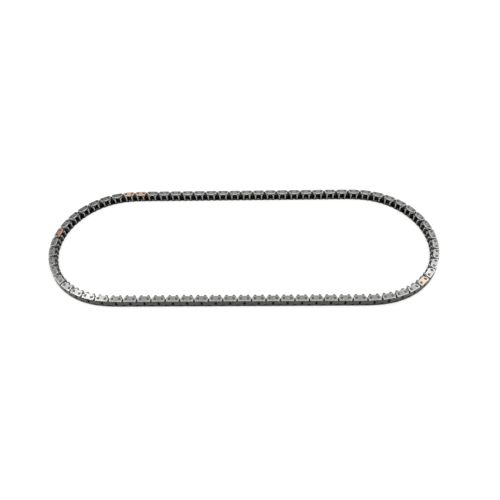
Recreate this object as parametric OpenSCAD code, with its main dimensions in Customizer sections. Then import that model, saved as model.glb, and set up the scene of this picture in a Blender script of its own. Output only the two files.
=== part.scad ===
// Silent timing chain, an endless inverted-tooth chain for an engine's camshafts.
// It lies on its side with its pins upright, and its teeth point to the inside of the loop.
// Millimetres, +Z up. The origin is the middle of the loop, on the surface that it lies on.

/* [Chain] */
// Distance from one pin to the next
pitch = 8; // [7:0.05:10]
// Pins over which the loop turns at each end
bend_pins = 38; // [20:1:50]
// Pins over which each end's bend comes in and goes out
ease_pins = 4; // [0:1:8]
// Toothed plates side by side in each row between two guide rows
inner_plates = 5; // [2:1:7]

/* [Plates] */
// Thickness of a guide plate
guide_t = 1; // [0.6:0.05:1.8]
// Thickness of a toothed plate
tooth_t = 1; // [0.6:0.05:1.8]
// Gap between plates that lie side by side
plate_gap = 0.05; // [0.03:0.01:0.2]
// Gap between the ends of two plates in one line
end_gap = 1.4; // [0.8:0.1:2]
// From the line of the pins out to a plate's straight back
back_h = 3.2; // [2.8:0.1:4]
// Radius of a guide plate's two back corners
back_r = 2.4; // [1:0.1:2.6]
// Radius of a toothed plate's two back corners
tooth_back_r = 1.4; // [0.6:0.1:2.6]
// From the line of the pins in to a guide plate's inner edge
guide_h = 3.8; // [3:0.1:5.2]
// How far a guide plate's sides lie inside the flanks of the toothed plates
guide_inset = 1.1; // [0:0.1:1.6]

/* [Teeth] */
// From the line of the pins in to the tips of the teeth
tip_h = 6.2; // [5.6:0.1:7.2]
// Width of a tooth's flat tip
tip_w = 1.6; // [1:0.1:2.2]
// Slope of a tooth's flanks from the way it points
flank = 30; // [26:0.5:32]
// Radius at the root of the space between a plate's two teeth
root_r = 1; // [0.6:0.1:1.4]

/* [Pins] */
// Diameter of a pin
pin_d = 3; // [2.2:0.1:3.6]
// Height by which a pin's riveted end stands out of the guide plate
rivet_h = 0.4; // [0.1:0.05:0.6]
// Width of the bevel round a pin's end
rivet_bevel = 0.3; // [0.1:0.05:0.5]
// Clearance on radius between a pin and a plate that turns on it
run_play = 0.05; // [0.03:0.01:0.1]
// Gap on radius left between a pin and the guide plate that it is riveted into
rivet_play = 0.01; // [0.005:0.005:0.02]

/* [Hidden] */
$fn = 48;
half_links = 71;
links = 2 * half_links;
half_sections = 28;
sections = 2 * half_sections;
// Links whose upper guide plate is coloured, as timing marks
marked_links = [43, 105, 107, 121];
// How far a cut runs on past the edge that it opens
cut_over = 1;
section_names = [for (s = [1:sections]) str("links_", s < 10 ? "0" : "", s)];
marker_names = [for (m = [1:len(marked_links)]) str("marker_plate_", m)];

// Share of a full turn that bend pin j makes, rising and falling over the ease
function ease(j) = min(1, (j + 1) / (ease_pins + 1), (bend_pins - j) / (ease_pins + 1));
ease_sum = bend_pins - ease_pins;
// Angle by which the loop turns at pin i, in degrees
function bend_index(i) = (i + half_links - 1) % half_links - (half_links - bend_pins);
function turn(i) = bend_index(i) < 0 ? 0 : 180 * ease(bend_index(i)) / ease_sum;
// Direction of each link, going anticlockwise, and the pin that it starts from
headings = [for (i = 0, h = 0; i < links; h = h + turn(i + 1), i = i + 1) h];
walk = [for (i = 0, p = [0, 0]; i < links; p = p + pitch * [cos(headings[i]), sin(headings[i])], i = i + 1) p];
middle = (walk[0] + walk[half_links]) / 2;
pins_at = [for (p = walk) p - middle];

pin_r = pin_d / 2;
half_w = pitch - end_gap / 2;
guide_top = rivet_h + guide_t;
plate_step = tooth_t + plate_gap;
first_inner = guide_top + plate_gap + plate_step;
last_outer = first_inner + inner_plates * plate_step;
upper_guide = last_outer + plate_step;
pin_len = upper_guide + guide_t + rivet_h;
// Half width of a toothed plate where its flank reaches height y, and that height for a half width x
function flank_x(y) = pitch / 2 + tip_w / 2 + (tip_h - y) * tan(flank);
function flank_y(x) = tip_h - (x - pitch / 2 - tip_w / 2) / tan(flank);
// Height at which a plate's two inner flanks would meet, and the middle of the round root
vee_y = tip_h - (pitch / 2 - tip_w / 2) / tan(flank);
root_y = vee_y + root_r / sin(flank);

// The outer outline of guide plates and toothed plates: back corners of radius r, and sides that slope like the flanks,
// set in by inset, up to height top
module blank(top, r, inset = 0) {
    reach = min(half_w, flank_x(top) - inset);
    corner = half_w - r;
    shoulder = max(r - back_h, flank_y(half_w + inset));
    polygon([
        [-corner, -back_h], [corner, -back_h], [half_w, r - back_h], [half_w, shoulder],
        [reach, top], [-reach, top], [-half_w, shoulder], [-half_w, r - back_h]
    ]);
    for (side = [-1, 1]) translate([side * corner, r - back_h]) circle(r);
}

// Two holes at the pins
module holes(play) {
    for (side = [-1, 1]) translate([side * pitch / 2, 0]) circle(pin_r + play);
}

// A toothed plate: two teeth, each under a pin, with a space for a sprocket tooth between them
module toothed_plate() {
    tangent = [root_r * cos(flank), root_y - root_r * sin(flank)];
    mouth = pitch / 2 - tip_w / 2;
    linear_extrude(tooth_t) difference() {
        blank(tip_h, tooth_back_r);
        polygon([
            tangent, [mouth, tip_h], [mouth, tip_h + cut_over],
            [-mouth, tip_h + cut_over], [-mouth, tip_h], [-tangent[0], tangent[1]]
        ]);
        translate([0, root_y]) circle(root_r);
        holes(run_play);
    }
}

// A guide plate: a narrower outline stopped short of the teeth, which keeps the sprocket in line
module guide_plate() {
    linear_extrude(guide_t) difference() {
        blank(guide_h, back_r, guide_inset);
        holes(rivet_play);
    }
}

// A pin, with a bevel round each riveted end
module pin() {
    rotate_extrude() polygon([
        [0, 0], [pin_r - rivet_bevel, 0], [pin_r, rivet_bevel / 2],
        [pin_r, pin_len - rivet_bevel / 2], [pin_r - rivet_bevel, pin_len], [0, pin_len]
    ]);
}

// Puts a piece that is drawn round the middle of a link onto link i
module on_link(i, z = 0) {
    translate([pins_at[i][0], pins_at[i][1], z]) rotate(headings[i]) translate([pitch / 2, 0, 0]) children();
}

function is_guide_row(i) = i % 2 == 1;
function is_marked(i) = len(search(i, marked_links)) > 0;

// A guide row: two guide plates riveted on two pins, and a toothed plate inside each
module guide_row(i) {
    on_link(i, rivet_h) guide_plate();
    if (!is_marked(i)) on_link(i, upper_guide) guide_plate();
    for (z = [guide_top + plate_gap, last_outer]) on_link(i, z) toothed_plate();
    for (side = [-1, 1]) on_link(i) translate([side * pitch / 2, 0, 0]) pin();
}

// An inner row: toothed plates side by side, loose on the pins of the guide rows beside it
module inner_row(i) {
    for (n = [0:inner_plates - 1]) on_link(i, first_inner + n * plate_step) toothed_plate();
}

// First link of section s, counted from 0, with the sections spread evenly round each half
function first_link(s) = floor((s % half_sections) * half_links / half_sections) + half_links * floor(s / half_sections);

// A section: two or three links in one piece, which turns on its neighbours at its end pins
module section(s) {
    color("dimgray") for (i = [first_link(s):first_link(s + 1) - 1]) {
        if (is_guide_row(i)) guide_row(i);
        else inner_row(i);
    }
}

// A coloured guide plate, riveted on top of its guide row as a timing mark
module marker_plate(m) {
    color("darksalmon") on_link(marked_links[m], upper_guide) guide_plate();
}

for (s = [0:sections - 1]) section(s);
for (m = [0:len(marked_links) - 1]) marker_plate(m);
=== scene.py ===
import math

import bpy
import numpy as np
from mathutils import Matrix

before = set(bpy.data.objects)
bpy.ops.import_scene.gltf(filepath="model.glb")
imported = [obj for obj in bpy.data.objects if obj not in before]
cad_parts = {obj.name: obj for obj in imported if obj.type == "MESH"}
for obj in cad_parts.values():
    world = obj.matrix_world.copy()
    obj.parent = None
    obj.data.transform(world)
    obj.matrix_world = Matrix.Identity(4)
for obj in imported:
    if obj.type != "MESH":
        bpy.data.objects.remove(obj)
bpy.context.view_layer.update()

# ---- The viewpoint
# The photograph looks down on the chain from in front of its near run, through a lens of about 34 mm on full frame.
# These numbers come from a camera fitted to the middles of the guide plates.
camera = bpy.data.objects.new("camera", bpy.data.cameras.new("camera"))
camera.location = (0.02342, -0.38775, 0.43952)
camera.rotation_euler = (math.radians(40.85), math.radians(1.35), math.radians(0.58))
camera.data.sensor_width = 36
camera.data.lens = 33.88
bpy.context.scene.collection.objects.link(camera)
bpy.context.scene.camera = camera
bpy.context.scene.view_settings.view_transform = "Standard"

# ---- The rows of links
# 142 rows of plates follow one another at a pitch of 8 mm: guide rows and inner rows by turns, and each two rows
# share a pin. Here every face of the chain is told its row, its layer and its place on its own plate, in
# millimetres, so that each finish follows its plate.
mm = 0.001
pitch = 8.0
half_rows = 71
bend_pins = 38
ease_pins = 4
plate_thickness = 1.0
plate_gap = 0.05
rivet_height = 0.4
bore_radius = 1.55
layers = 9
bottom_guide, bottom_tooth, top_tooth, top_guide = 0, 1, 7, 8
layer_floors = rivet_height + (plate_thickness + plate_gap) * np.arange(layers)
guides_top = layer_floors[top_guide] + plate_thickness
# Two places closer than this are taken to be the same, and this far in from a level face lies its own plate
nearly = 0.01
inside = 0.1


def turn_at(pin):
    """The angle by which the chain turns at a pin: none along the runs, and easing in and out of each bend."""
    place = (pin + half_rows - 1) % half_rows - (half_rows - bend_pins)
    if place < 0:
        return 0.0
    ease = min(1, (place + 1) / (ease_pins + 1), (bend_pins - place) / (ease_pins + 1))
    return math.pi * ease / (bend_pins - ease_pins)


headings = np.cumsum([0.0] + [turn_at(pin) for pin in range(1, 2 * half_rows)])
steps = pitch * np.column_stack([np.cos(headings), np.sin(headings)])
pins = np.vstack([[0.0, 0.0], np.cumsum(steps, axis=0)])
pins = pins - (pins[0] + pins[half_rows]) / 2
row_middles = (pins[:-1] + pins[1:]) / 2


class Faces:
    """The faces of one node, and for each its row, its layer, its place on its plate and what piece it belongs to."""

    def __init__(self, node):
        self.mesh = node.data
        count = len(self.mesh.polygons)
        corners = self.read(self.mesh.vertices, "co", 3 * len(self.mesh.vertices)).reshape(-1, 3) / mm
        sizes = self.read(self.mesh.polygons, "loop_total", count).astype(int)
        starts = self.read(self.mesh.polygons, "loop_start", count).astype(int)
        normals = self.read(self.mesh.polygons, "normal", 3 * count).reshape(-1, 3)
        points = corners[self.read(self.mesh.loops, "vertex_index", len(self.mesh.loops)).astype(int)]
        middle = np.add.reduceat(points, starts) / sizes[:, None]
        low = np.minimum.reduceat(points[:, 2], starts)
        high = np.maximum.reduceat(points[:, 2], starts)

        # A level face belongs to the plate under it, or over it where it faces down
        self.level = np.abs(normals[:, 2]) > math.sqrt(0.5)
        self.upward = normals[:, 2] > 0
        height = middle[:, 2] - np.where(self.level, inside * np.sign(normals[:, 2]), 0)
        layer = np.searchsorted(layer_floors - plate_gap / 2, height) - 1
        self.layer = np.clip(layer, bottom_guide, top_guide)

        # The two lowest and the two highest layers are the guide rows' own plates, and the others the inner rows'
        of_guide_row = (self.layer <= bottom_tooth) | (self.layer >= top_tooth)
        apart = middle[:, None, :2] - row_middles[None]
        distance = np.hypot(apart[..., 0], apart[..., 1])
        is_guide_row = np.arange(2 * half_rows) % 2 == 1
        self.row = np.where(is_guide_row[None] == of_guide_row[:, None], distance, np.inf).argmin(axis=1)
        self.along, self.across = self.on_plate(middle[:, :2], self.row)
        angle = headings[self.row]
        self.facing = normals[:, 1] * np.cos(angle) - normals[:, 0] * np.sin(angle)

        # Only a pin's side is taller than two plates, and only its ends stand out of the guide plates
        self.pin = (high - low > 2 * plate_thickness) | (high > guides_top + nearly) | (low < rivet_height - nearly)
        self.pin_end = self.pin & self.level & (high - low < nearly)
        self.pin_top = self.pin & self.level & self.upward
        from_pin = np.hypot(np.abs(self.along) - pitch / 2, self.across)
        self.bore = ~self.level & ~self.pin & (from_pin < bore_radius + nearly)
        self.guide = ~self.pin & ((self.layer == bottom_guide) | (self.layer == top_guide))
        self.tooth = ~self.pin & ~self.guide

        self.write("place_mm", "CORNER", [
            *self.on_plate(points[:, :2], np.repeat(self.row, sizes)),
            points[:, 2] - layer_floors[np.repeat(self.layer, sizes)],
        ])
        self.write("plate_number", "FACE", [self.row, self.layer, self.pin])
        self.slots = np.zeros(count, int)
        self.mesh.materials.clear()

    def read(self, items, name, count):
        """That property of all the items, as one row of numbers."""
        values = np.zeros(count, np.int32 if name in ("loop_total", "loop_start", "vertex_index") else np.float32)
        items.foreach_get(name, values)
        return values.astype(float)

    def write(self, name, domain, columns):
        """Gives the mesh an attribute that its finishes read."""
        attribute = self.mesh.attributes.new(name, "FLOAT_VECTOR", domain)
        attribute.data.foreach_set("vector", np.column_stack(columns).astype(np.float32).ravel())

    def on_plate(self, points, rows):
        """Distance along the row from its middle, and across it towards the teeth, in millimetres."""
        apart = points - row_middles[rows]
        c, s = np.cos(headings[rows]), np.sin(headings[rows])
        return apart[:, 0] * c + apart[:, 1] * s, apart[:, 1] * c - apart[:, 0] * s

    def wear(self, which, finish):
        """Gives those faces that finish."""
        if which.any():
            self.mesh.materials.append(finish)
            self.slots[which] = len(self.mesh.materials) - 1
            self.mesh.polygons.foreach_set("material_index", self.slots)


chain = {name: Faces(node) for name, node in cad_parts.items()}

# ---- Toothed plates
# Seven toothed plates lie side by side: five in an inner row, and one on either side of them in each guide row.
# They are blanked from 1 mm spring steel strip, hardened and tumbled. The sprocket polishes their tips, and their
# roots stay dark with oil.
tip_height = 6.2
plate_half_length = 7.3


def linear(code):
    """An sRGB hex colour as Blender's linear red, green, blue and alpha."""
    parts = [int(code[i : i + 2], 16) / 255 for i in (1, 3, 5)]
    return (*[c / 12.92 if c <= 0.04045 else ((c + 0.055) / 1.055) ** 2.4 for c in parts], 1)


def add(tree, kind, output=None, inputs=(), stops=(), **settings):
    """Adds a node and gives back that output of it, or all of them. Inputs are pairs of a socket's name or number and
    the value or output that feeds it. Stops are the places and hex colours of a colour ramp. A Mix node's sockets go
    by number: it mixes colours 6 and 7 into output 2, and plain values 2 and 3 into output 0."""
    node = tree.nodes.new("ShaderNode" + kind)
    for name, value in settings.items():
        setattr(node, name, value)
    for socket, value in inputs:
        if isinstance(value, bpy.types.NodeSocket):
            tree.links.new(value, node.inputs[socket])
        else:
            node.inputs[socket].default_value = value
    if stops:
        ramp = node.color_ramp.elements
        for end in (0, -1):
            ramp[end].position, ramp[end].color = stops[end][0], linear(stops[end][1])
        for place, code in stops[1:-1]:
            ramp.new(place).color = linear(code)
    return node.outputs if output is None else node.outputs[output]


def new_finish(name, colour, metallic, roughness):
    """A material by that name, its tree, and its shader set to those plain values."""
    finish = bpy.data.materials.new(name)
    finish.use_nodes = True
    finish.diffuse_color = linear(colour)
    shader = finish.node_tree.nodes["Principled BSDF"]
    shader.inputs["Base Color"].default_value = linear(colour)
    shader.inputs["Metallic"].default_value = metallic
    shader.inputs["Roughness"].default_value = roughness
    return finish, finish.node_tree, shader


def place_on_plate(tree):
    """The place on a plate in millimetres: along the row from its middle, across it towards the teeth, and up."""
    place = add(tree, "Attribute", "Vector", attribute_name="place_mm")
    return add(tree, "SeparateXYZ", inputs=[(0, place)])


def own_pattern(tree, grain_mm=(1, 1, 1)):
    """The place on a plate, moved so that no two plates share a pattern, and measured in grains of that size."""
    place = add(tree, "Attribute", "Vector", attribute_name="place_mm")
    number = add(tree, "Attribute", "Vector", attribute_name="plate_number")
    apart = add(tree, "VectorMath", 0, [(0, number), (1, (37.0, 23.0, 11.0))], operation="MULTIPLY")
    moved = add(tree, "VectorMath", 0, [(0, place), (1, apart)], operation="ADD")
    return add(tree, "VectorMath", 0, [(0, moved), (1, tuple(1 / g for g in grain_mm))], operation="MULTIPLY")


def layer_on_row(tree):
    """The number of the layer that a plate lies in, from 0 for the lowest guide plates to 8 for the highest."""
    number = add(tree, "Attribute", "Vector", attribute_name="plate_number")
    return add(tree, "SeparateXYZ", "Y", [(0, number)])


def by_chance(tree, output):
    """A value or a colour that differs by chance from plate to plate."""
    number = add(tree, "Attribute", "Vector", attribute_name="plate_number")
    return add(tree, "TexWhiteNoise", output, [("Vector", number)], noise_dimensions="3D")


def on_worn_and_highlit_edge(tree, band_mm):
    """1 on an edge and 0 away from it, for a band of wear and painted highlight. The band is drawn wider than the
    real
    one, so that it shows at all: one millimetre of chain is less than one pixel of the photograph."""
    spread = add(tree, "Bevel", 0, [("Radius", 1.6 * band_mm * mm)], samples=8)
    flat = add(tree, "NewGeometry", "True Normal")
    alike = add(tree, "VectorMath", "Value", [(0, spread), (1, flat)], operation="DOT_PRODUCT")
    return add(tree, "MapRange", "Result", [("Value", alike), ("From Min", 0.995), ("From Max", 0.96)])


# Face of blanked spring steel strip, hardened and tumbled. That gives a satin grey in faint clouds of 2.5 mm, pitted
# every 0.5 mm, lighter along its edges by wear and by a painted highlight, and darkened in the corners as painted
# shade.
strip_face, tree, shader = new_finish("tumbled_spring_steel_strip", "#7f7e7c", 1, 0.26)
moved = own_pattern(tree)
clouds = add(tree, "TexNoise", "Fac", [("Vector", moved), ("Scale", 1 / 2.5), ("Detail", 3)])
tone = add(tree, "ValToRGB", "Color", [("Fac", clouds)], [(0.3, "#727170"), (0.55, "#807f7d"), (0.75, "#908f8d")])
# Painted shade: the colour goes dark where nearby parts close in round the face
open_air = add(tree, "AmbientOcclusion", "AO", [("Distance", 2.5 * mm)], samples=8)
unshaded = add(tree, "MapRange", "Result", [("Value", open_air), ("From Min", 0.6), ("From Max", 0.92)])
tone = add(tree, "Mix", 2, [("Factor", unshaded), (6, linear("#242322")), (7, tone)], data_type="RGBA")
edge = on_worn_and_highlit_edge(tree, 0.25)
tone = add(tree, "Mix", 2, [("Factor", edge), (6, tone), (7, linear("#cccbc9"))], data_type="RGBA")
tree.links.new(tone, shader.inputs["Base Color"])
pits = add(tree, "TexNoise", "Fac", [("Vector", moved), ("Scale", 1 / 0.5), ("Detail", 2)])
dull = add(tree, "MapRange", "Result", [("Value", pits), ("To Min", 0.17), ("To Max", 0.24)])
tree.links.new(dull, shader.inputs["Roughness"])
# Tumbling has rounded the edges, which is drawn stronger than it is, for the same reason as the lighter edge band
rounded = add(tree, "Bevel", 0, [("Radius", 0.6 * mm)], samples=4)
dents = add(tree, "Bump", 0, [("Height", pits), ("Distance", 0.01 * mm), ("Strength", 0.5), ("Normal", rounded)])
tree.links.new(dents, shader.inputs["Normal"])

# Sheared back edge of a plate. The punch burnishes it low down and tears it from there up, in streaks of 3 mm by
# 0.5 mm, so each plate shows a dark and a light line. The lowest layer is painted darker, as painted shade.
sheared_back, tree, shader = new_finish("sheared_steel_back", "#504e4b", 1, 0.42)
streaked = own_pattern(tree, (0.5, 0.5, 3.0))
tears = add(tree, "TexNoise", "Fac", [("Vector", streaked), ("Scale", 1.0), ("Detail", 2)])
up = [("Value", place_on_plate(tree)["Z"]), ("From Min", 0.35), ("From Max", 0.75)]
torn = add(tree, "MapRange", "Result", up + [("To Min", 0.35), ("To Max", 0.75)])
torn = add(tree, "Math", 0, [(0, torn), (1, tears)], operation="MULTIPLY")
batch = add(tree, "MapRange", "Result", [("Value", by_chance(tree, "Value")), ("To Min", 0.75), ("To Max", 1.3)])
torn = add(tree, "Math", 0, [(0, torn), (1, batch)], operation="MULTIPLY")
# Painted shade: the backs of the lowest layer are darker
lighter_above_bottom = add(tree, "MapRange", "Result", [("Value", layer_on_row(tree)), ("From Max", bottom_tooth), ("To Min", 0.25)])
torn = add(tree, "Math", 0, [(0, torn), (1, lighter_above_bottom)], operation="MULTIPLY")
greys = [(0.03, "#222221"), (0.1, "#333332"), (0.25, "#4a4948"), (0.5, "#666563")]
tone = add(tree, "ValToRGB", "Color", [("Fac", torn)], greys)
# Lighter along the edges, by wear and by a painted highlight
edge = on_worn_and_highlit_edge(tree, 0.15)
tone = add(tree, "Mix", 2, [("Factor", edge), (6, tone), (7, linear("#72706e"))], data_type="RGBA")
tree.links.new(tone, shader.inputs["Base Color"])
rounded = add(tree, "Bevel", 0, [("Radius", 0.2 * mm)], samples=4)
dents = add(tree, "Bump", 0, [("Height", tears), ("Distance", 0.03 * mm), ("Strength", 0.6), ("Normal", rounded)])
tree.links.new(dents, shader.inputs["Normal"])

# Flanks and roots between the teeth, and faces inside the chain: blackened by hardening and wet with oil, in a film
# that varies over 1.5 mm from dull to glossy. On the tops of the inner rows, seen between the guide plates, this dark
# finish is painted shade.
oiled_root_and_shade, tree, shader = new_finish("oiled_black_steel_root_and_shade", "#484644", 1, 0.4)
film = add(tree, "TexNoise", "Fac", [("Vector", own_pattern(tree)), ("Scale", 1 / 1.5), ("Detail", 3)])
tone = add(tree, "ValToRGB", "Color", [("Fac", film)], [(0.3, "#383634"), (0.6, "#484644"), (0.8, "#5d5b58")])
tree.links.new(tone, shader.inputs["Base Color"])
dull = add(tree, "MapRange", "Result", [("Value", film), ("To Min", 0.3), ("To Max", 0.55)])
tree.links.new(dull, shader.inputs["Roughness"])

# Tips of the teeth, which the sprocket polishes. That gives a bright line down the middle of each tip, partly polish
# and partly a painted highlight, with fine lines across the chain, 0.2 mm apart. It is painted dimmer on the lower
# plates, as painted shade.
polished_and_highlit_tip, tree, shader = new_finish("polished_and_highlit_steel_tip", "#a3a09b", 1, 0.3)
lined = own_pattern(tree, (0.2, 0.2, 4.0))
lines = add(tree, "TexNoise", "Fac", [("Vector", lined), ("Scale", 1.0), ("Detail", 2)])
tone = add(tree, "ValToRGB", "Color", [("Fac", lines)], [(0.3, "#9c9b99"), (0.55, "#b8b6b4"), (0.75, "#d2d1cf")])
aside = add(tree, "Math", 0, [(0, place_on_plate(tree)["X"])], operation="ABSOLUTE")
aside = add(tree, "Math", 0, [(0, aside), (1, pitch / 2)], operation="SUBTRACT")
aside = add(tree, "Math", 0, [(0, aside)], operation="ABSOLUTE")
# The bright line down each tip: polish and painted highlight
polish_and_highlight = add(tree, "MapRange", "Result", [("Value", aside), ("From Min", 0.75), ("From Max", 0.35)])
# Painted shade: the lower a plate lies, the dimmer its tip
lighter_higher_up = add(tree, "MapRange", "Result", [("Value", layer_on_row(tree)), ("From Max", top_tooth), ("To Min", 0.3)])
polish_and_highlight = add(tree, "Math", 0, [(0, polish_and_highlight), (1, lighter_higher_up)], operation="MULTIPLY")
tone = add(tree, "Mix", 2, [("Factor", polish_and_highlight), (6, linear("#2a2928")), (7, tone)], data_type="RGBA")
tree.links.new(tone, shader.inputs["Base Color"])
rounded = add(tree, "Bevel", 0, [("Radius", 0.2 * mm)], samples=4)
dents = add(tree, "Bump", 0, [("Height", lines), ("Distance", 0.01 * mm), ("Strength", 0.5), ("Normal", rounded)])
tree.links.new(dents, shader.inputs["Normal"])

for faces in chain.values():
    upright = faces.tooth & ~faces.level
    tip = upright & (faces.across > tip_height - nearly) & (faces.facing > 0.9)
    end = np.abs(faces.along) > plate_half_length - nearly
    back = upright & ~faces.bore & ((faces.facing < -0.2) | end)
    outside = np.where(faces.upward, faces.layer == top_tooth, faces.layer == bottom_tooth)
    faces.wear(faces.tooth & faces.level & outside, strip_face)
    # The inner rows' tops, seen between the guide plates, take the dark finish as painted shade
    faces.wear(faces.tooth & faces.level & ~outside, oiled_root_and_shade)
    faces.wear(back, sheared_back)
    faces.wear(tip, polished_and_highlit_tip)
    faces.wear(upright & ~tip & ~back, oiled_root_and_shade)

# ---- Guide plates
# A guide plate closes each guide row above and below, and keeps the chain in line on its sprockets. It has no
# teeth. It is blanked from 1 mm strip, tumbled bright and riveted on two pins. The upper ones are the largest faces
# in the photograph.


def distance_from_pin(tree):
    """Distance from the middle of the nearer pin, in millimetres."""
    place = place_on_plate(tree)
    aside = add(tree, "Math", 0, [(0, place["X"])], operation="ABSOLUTE")
    aside = add(tree, "Math", 0, [(0, aside), (1, pitch / 2)], operation="SUBTRACT")
    apart = add(tree, "CombineXYZ", 0, [("X", aside), ("Y", place["Y"])])
    return add(tree, "VectorMath", "Value", [(0, apart)], operation="LENGTH")


# Outer face of a guide plate, tumbled bright. That gives a light satin grey in faint clouds of 3 mm, pitted every
# 0.6 mm, with a dark ring 0.25 mm wide round each pin, partly oil at the joint and partly painted shade, and a
# lighter band along the edges, by wear and by a painted highlight. No two plates lie quite level, so each mirrors
# another part of the studio.
guide_face_steel, tree, shader = new_finish("tumbled_bright_steel_plate", "#9b9b9a", 1, 0.16)
moved = own_pattern(tree)
clouds = add(tree, "TexNoise", "Fac", [("Vector", moved), ("Scale", 1 / 3.0), ("Detail", 3)])
tone = add(tree, "ValToRGB", "Color", [("Fac", clouds)], [(0.3, "#8e8e8d"), (0.55, "#9b9b9a"), (0.75, "#a8a8a7")])
# Dark ring round each pin: oil at the joint and painted shade
ring = add(tree, "MapRange", "Result", [("Value", distance_from_pin(tree)), ("From Min", 1.85), ("From Max", 1.6)])
tone = add(tree, "Mix", 2, [("Factor", ring), (6, tone), (7, linear("#3a3836"))], data_type="RGBA")
edge = on_worn_and_highlit_edge(tree, 0.65)
tone = add(tree, "Mix", 2, [("Factor", edge), (6, tone), (7, linear("#dcdbd9"))], data_type="RGBA")
tree.links.new(tone, shader.inputs["Base Color"])
pits = add(tree, "TexNoise", "Fac", [("Vector", moved), ("Scale", 1 / 0.6), ("Detail", 2)])
dull = add(tree, "MapRange", "Result", [("Value", pits), ("To Min", 0.14), ("To Max", 0.19)])
tree.links.new(dull, shader.inputs["Roughness"])
tilt = add(tree, "VectorMath", 0, [(0, by_chance(tree, "Color")), (1, (0.5, 0.5, 0.5))], operation="SUBTRACT")
tilt = add(tree, "VectorMath", 0, [(0, tilt), ("Scale", 0.008)], operation="SCALE")
rounded = add(tree, "Bevel", 0, [("Radius", 0.85 * mm)], samples=4)
lean = add(tree, "VectorMath", 0, [(0, rounded), (1, tilt)], operation="ADD")
lean = add(tree, "VectorMath", 0, [(0, lean)], operation="NORMALIZE")
dents = add(tree, "Bump", 0, [("Height", pits), ("Distance", 0.01 * mm), ("Strength", 0.4), ("Normal", lean)])
tree.links.new(dents, shader.inputs["Normal"])

# Cut corners and inner edge of a guide plate, rubbed by tumbling and by the sides of the sprocket teeth. That gives
# the brightest metal on the chain, in scuffs of 2 mm by 0.4 mm, painted dark as shade where other parts or the floor
# stand within 3 mm.
guide_edge_steel, tree, shader = new_finish("rubbed_bright_steel_edge", "#c4c3c1", 1, 0.26)
scuffed = own_pattern(tree, (0.4, 0.4, 2.0))
scuffs = add(tree, "TexNoise", "Fac", [("Vector", scuffed), ("Scale", 1.0), ("Detail", 2)])
tone = add(tree, "ValToRGB", "Color", [("Fac", scuffs)], [(0.3, "#a8a7a6"), (0.55, "#c4c3c1"), (0.75, "#dedddb")])
# Painted shade: dark where other parts or the floor close in
open_air = add(tree, "AmbientOcclusion", "AO", [("Distance", 3 * mm)], samples=8)
unshaded = add(tree, "MapRange", "Result", [("Value", open_air), ("From Min", 0.5), ("From Max", 0.75)])
tone = add(tree, "Mix", 2, [("Factor", unshaded), (6, linear("#2c2b2a")), (7, tone)], data_type="RGBA")
tree.links.new(tone, shader.inputs["Base Color"])
rounded = add(tree, "Bevel", 0, [("Radius", 0.3 * mm)], samples=4)
dents = add(tree, "Bump", 0, [("Height", scuffs), ("Distance", 0.01 * mm), ("Strength", 0.5), ("Normal", rounded)])
tree.links.new(dents, shader.inputs["Normal"])

for name, faces in chain.items():
    if name.startswith("links"):
        outside = faces.upward == (faces.layer == top_guide)
        straight_back = faces.facing < -0.95
        faces.wear(faces.guide & faces.level & outside, guide_face_steel)
        faces.wear(faces.guide & faces.level & ~outside, oiled_root_and_shade)
        faces.wear(faces.guide & ~faces.level & straight_back, sheared_back)
        faces.wear(faces.guide & ~faces.level & ~straight_back, guide_edge_steel)

# ---- Pins
# Two hardened pins hold each guide row together. Their ends are riveted over the guide plates, and each shows a dark
# ring round a paler end, with painted shade at the rim of the end and on the plate round it.

# End of a riveted pin, spun flat by the riveting tool. That gives turned rings 0.3 mm apart, paler than the bevel
# round them, and painted darker from the middle to the rim as painted shade.
pin_end_steel, tree, shader = new_finish("spun_steel_pin_end", "#7c7b79", 1, 0.25)
outward = distance_from_pin(tree)
tone = add(tree, "ValToRGB", "Color", [("Fac", outward)], [(0.0, "#8d8c8a"), (0.6, "#7c7b79"), (1.0, "#4b4a48")])
tree.links.new(tone, shader.inputs["Base Color"])
rings = add(tree, "Math", 0, [(0, outward), (1, 2 * math.pi / 0.3)], operation="MULTIPLY")
rings = add(tree, "Math", 0, [(0, rings)], operation="SINE")
turned = add(tree, "Bump", 0, [("Height", rings), ("Distance", 0.005 * mm), ("Strength", 0.4)])
tree.links.new(turned, shader.inputs["Normal"])

# Bevel and side of a pin: black from the heat of hardening, with a film of oil that varies over 0.8 mm.
pin_side_steel, tree, shader = new_finish("black_hardened_steel_pin", "#33312f", 1, 0.35)
film = add(tree, "TexNoise", "Fac", [("Vector", own_pattern(tree)), ("Scale", 1 / 0.8), ("Detail", 2)])
tone = add(tree, "ValToRGB", "Color", [("Fac", film)], [(0.3, "#232120"), (0.6, "#353331"), (0.8, "#4a4744")])
tree.links.new(tone, shader.inputs["Base Color"])

for faces in chain.values():
    faces.wear(faces.pin_end, pin_end_steel)
    faces.wear(faces.pin & ~faces.pin_end, pin_side_steel)
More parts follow.
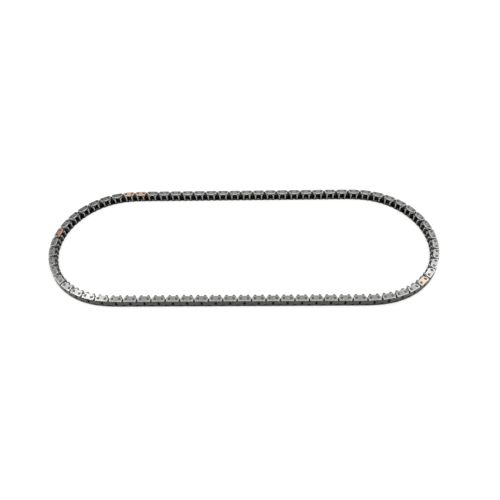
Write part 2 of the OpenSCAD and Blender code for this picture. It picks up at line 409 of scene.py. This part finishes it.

# ---- Marker plates
# Four upper guide plates are coloured, as marks for setting the timing: one pale peach, two pinkish orange and one
# orange. They are brushed with lacquer after riveting, so the ends of their pins take some too. It is paler along
# their edges, where it has rubbed thin and where a highlight is painted.

# Slot, row, the lacquer's darkest and palest colour, and its colour on the pin ends
marker_colours = {
    "marker_plate_1": ("marker_pale", 43, "#f0d9bc", "#fce9cf", "#8c8378"),
    "marker_plate_2": ("marker_pink", 105, "#c4a088", "#e0c4ac", "#7d5a46"),
    "marker_plate_3": ("marker_pink", 107, "#c4a088", "#e0c4ac", "#7d5a46"),
    "marker_plate_4": ("marker_orange", 121, "#8c6046", "#b48868", "#68432f"),
}
lacquers = {}
for name, (slot, row, dark, light, on_pin) in marker_colours.items():
    if slot not in lacquers:
        # Lacquer brushed thin on bright steel. That gives the lacquer's colour with a soft metal gloss, uneven over
        # 2 mm, and paler along the edges, by wear and by a painted highlight.
        lacquer, tree, shader = new_finish("lacquered_steel_" + slot, dark, 0.3, 0.35)
        coat = add(tree, "TexNoise", "Fac", [("Vector", own_pattern(tree)), ("Scale", 1 / 2.0), ("Detail", 3)])
        tone = add(tree, "ValToRGB", "Color", [("Fac", coat)], [(0.35, dark), (0.65, light)])
        edge = on_worn_and_highlit_edge(tree, 0.65)
        tone = add(tree, "Mix", 2, [("Factor", edge), (6, tone), (7, linear("#e6d6ca"))], data_type="RGBA")
        tree.links.new(tone, shader.inputs["Base Color"])
        rounded = add(tree, "Bevel", 0, [("Radius", 0.85 * mm)], samples=4)
        tree.links.new(rounded, shader.inputs["Normal"])
        # The same lacquer on the pin ends, which hold little of it, in spots of 0.8 mm, and stay dark with oil.
        stained, tree, shader = new_finish("stained_pin_end_" + slot, on_pin, 0.6, 0.4)
        coat = add(tree, "TexNoise", "Fac", [("Vector", own_pattern(tree)), ("Scale", 1 / 0.8), ("Detail", 2)])
        stain = [("Factor", coat), (6, linear("#3a3330")), (7, linear(on_pin))]
        tree.links.new(add(tree, "Mix", 2, stain, data_type="RGBA"), shader.inputs["Base Color"])
        lacquers[slot] = lacquer, stained
    lacquer, stained = lacquers[slot]
    chain[name].wear(chain[name].guide, lacquer)
    for faces in chain.values():
        faces.wear(faces.pin_top & (faces.row == row), stained)

# ---- The sheet that the chain lies on
# A plain white sheet. It is grey by its own colour, and the rays that see it directly or mirrored get the rest of its
# white from a glow, so that it throws no more light on the chain than the studio does. The glow and the colour both
# fade where the chain stands close over the sheet, which paints a contact shadow there beside the chain's own soft
# shadow.


def seen_directly(tree):
    """1 for the rays that show the background: the camera's own, and those that are mirrored or let through."""
    path = add(tree, "LightPath")
    seen = add(tree, "Math", 0, [(0, path["Is Camera Ray"]), (1, path["Is Glossy Ray"])], operation="ADD")
    return add(tree, "Math", 0, [(0, seen), (1, path["Is Transmission Ray"])], operation="ADD")


bpy.ops.mesh.primitive_plane_add(size=6)
floor = bpy.context.object
floor.name = "floor"
# Matt white paper, as it comes off the roll. That gives no gloss. Its colour is painted black in the corner under
# the chain, as painted shadow.
paper, tree, shader = new_finish("white_paper_sheet", "#bcbcbc", 0, 0.9)
shader.inputs["Specular IOR Level"].default_value = 0
open_air = add(tree, "AmbientOcclusion", "AO", [("Distance", 6 * mm)], samples=16)
rise = [("Value", open_air), ("From Min", 0.48), ("From Max", 0.62)]
clear = add(tree, "MapRange", "Result", rise, interpolation_type="SMOOTHSTEP")
tone = add(tree, "Mix", 2, [("Factor", clear), (6, linear("#202020")), (7, linear("#bcbcbc"))], data_type="RGBA")
tree.links.new(tone, shader.inputs["Base Color"])
lift = add(tree, "Math", 0, [(0, seen_directly(tree)), (1, 0.66)], operation="MULTIPLY")
lift = add(tree, "Math", 0, [(0, lift), (1, clear)], operation="MULTIPLY")
glow = add(tree, "Emission", 0, [("Color", (1, 1, 1, 1)), ("Strength", lift)])
sheet = add(tree, "AddShader", 0, [(0, shader.outputs[0]), (1, glow)])
tree.links.new(sheet, tree.nodes["Material Output"].inputs["Surface"])
floor.data.materials.append(paper)

# ---- The studio
# Soft light comes from all round at a plain level. Bare steel shows what it mirrors, so mirrored rays meet a studio
# with a ceiling, windows, a bright front and a dark far wall. Two small softboxes behind the chain give the bright
# plates at the lower left and on the right.
world = bpy.data.worlds.new("studio")
bpy.context.scene.world = world
world.use_nodes = True
studio = world.node_tree
toward = add(studio, "TexCoord", "Generated")
parts = add(studio, "SeparateXYZ", inputs=[(0, toward)])
aside, behind, height = parts["X"], parts["Y"], parts["Z"]
soft = "SMOOTHSTEP"


def direction(azimuth, elevation):
    """Unit vector at those angles in degrees, with azimuth 0 behind the chain and positive to the right."""
    a, e = math.radians(azimuth), math.radians(elevation)
    return np.array([math.sin(a) * math.cos(e), math.cos(a) * math.cos(e), math.sin(e)])


def patch(azimuth, elevation, outer, inner, most):
    """A round patch of the studio: the most inside the inner angle from its middle, and nothing beyond the outer."""
    middle = tuple(direction(azimuth, elevation))
    near = add(studio, "VectorMath", "Value", [(0, toward), (1, middle)], operation="DOT_PRODUCT")
    start, end = math.cos(math.radians(outer)), math.cos(math.radians(inner))
    rise = [("Value", near), ("From Min", start), ("From Max", end), ("To Max", most)]
    return add(studio, "MapRange", "Result", rise, interpolation_type=soft)


# The ceiling is a little brighter than the walls
rise = [("Value", height), ("From Min", 0.64), ("From Max", 0.8), ("To Min", 0.87), ("To Max", 0.97)]
mirrored = add(studio, "MapRange", "Result", rise)

# Tall windows to the sides and low ones beyond them light the worn edges in the bends
tall = [(0, patch(-105, 35, 55, 30, 1.2)), (1, patch(105, 35, 55, 30, 1.2))]
windows = add(studio, "Math", 0, tall, operation="MAXIMUM")
rise = [("Value", height), ("From Min", 0.25), ("From Max", 0.45)]
above_sill = add(studio, "MapRange", "Result", rise, interpolation_type=soft)
windows = add(studio, "Math", 0, [(0, windows), (1, above_sill)], operation="MULTIPLY")
low = [(0, patch(-54, 16, 24, 12, 1.0)), (1, patch(54, 16, 24, 12, 1.0))]
low_windows = add(studio, "Math", 0, low, operation="MAXIMUM")
windows = add(studio, "Math", 0, [(0, windows), (1, low_windows)], operation="MAXIMUM")

# A bright front, from halfway up, lights the near edges of the plates
rise = [("Value", behind), ("From Min", 0.05), ("From Max", -0.4), ("To Max", 1.5)]
front = add(studio, "MapRange", "Result", rise, interpolation_type=soft)
rise = [("Value", height), ("From Min", 0.42), ("From Max", 0.6)]
halfway_up = add(studio, "MapRange", "Result", rise, interpolation_type=soft)
front = add(studio, "Math", 0, [(0, front), (1, halfway_up)], operation="MULTIPLY")
bright = add(studio, "Math", 0, [(0, windows), (1, front)], operation="MAXIMUM")
mirrored = add(studio, "Math", 0, [(0, mirrored), (1, bright)], operation="ADD")

# A dark far wall leaves the far edges of the plates without a bright line
rise = [("Value", height), ("From Min", 0.635), ("From Max", 0.52), ("To Max", 0.62)]
far_wall = add(studio, "MapRange", "Result", rise, interpolation_type=soft)
rise = [("Value", behind), ("From Min", 0.0), ("From Max", 0.3)]
far_side = add(studio, "MapRange", "Result", rise, interpolation_type=soft)
far_wall = add(studio, "Math", 0, [(0, far_wall), (1, far_side)], operation="MULTIPLY")
beside = add(studio, "Math", 0, [(0, aside)], operation="ABSOLUTE")
rise = [("Value", beside), ("From Min", 0.68), ("From Max", 0.5)]
middle_part = add(studio, "MapRange", "Result", rise, interpolation_type=soft)
far_wall = add(studio, "Math", 0, [(0, far_wall), (1, middle_part)], operation="MULTIPLY")
mirrored = add(studio, "Math", 0, [(0, mirrored), (1, far_wall)], operation="SUBTRACT")

# Two dark places high on the left give the darker plates at the upper left
for dark_place in (patch(-26.5, 40.3, 9, 4, 0.42), patch(-36.5, 46.0, 4.5, 1.5, 0.33)):
    mirrored = add(studio, "Math", 0, [(0, mirrored), (1, dark_place)], operation="SUBTRACT")

# All other rays meet the plain level, and the camera sees white
plain = add(studio, "MapRange", "Result", [("Value", seen_directly(studio)), ("To Min", 0.95), ("To Max", 1.0)])
is_mirrored = add(studio, "LightPath", "Is Glossy Ray")
level = add(studio, "Mix", 0, [("Factor", is_mirrored), (2, plain), (3, mirrored)])
background = studio.nodes["Background"]
background.inputs["Color"].default_value = (1, 1, 1, 1)
studio.links.new(level, background.inputs["Strength"])


def softbox(name, plate, azimuth, elevation, width, height, power):
    """A small lamp 4 m from a plate, in the direction in which that plate mirrors the viewer."""
    lamp = bpy.data.lights.new(name, "AREA")
    lamp.shape, lamp.size, lamp.size_y, lamp.energy = "ELLIPSE", width, height, power
    box = bpy.data.objects.new(name, lamp)
    box.location = np.array(plate) + 4 * direction(azimuth, elevation)
    box.rotation_euler = (math.pi / 2 - math.radians(elevation), 0, math.pi - math.radians(azimuth))
    bpy.context.scene.collection.objects.link(box)


softbox("softbox_left", (-0.180, -0.080, 0), -32.4, 49.5, 0.17, 0.17, 1.0)
softbox("softbox_right", (0.215, -0.050, 0), 29.3, 48.1, 0.15, 0.31, 0.78)
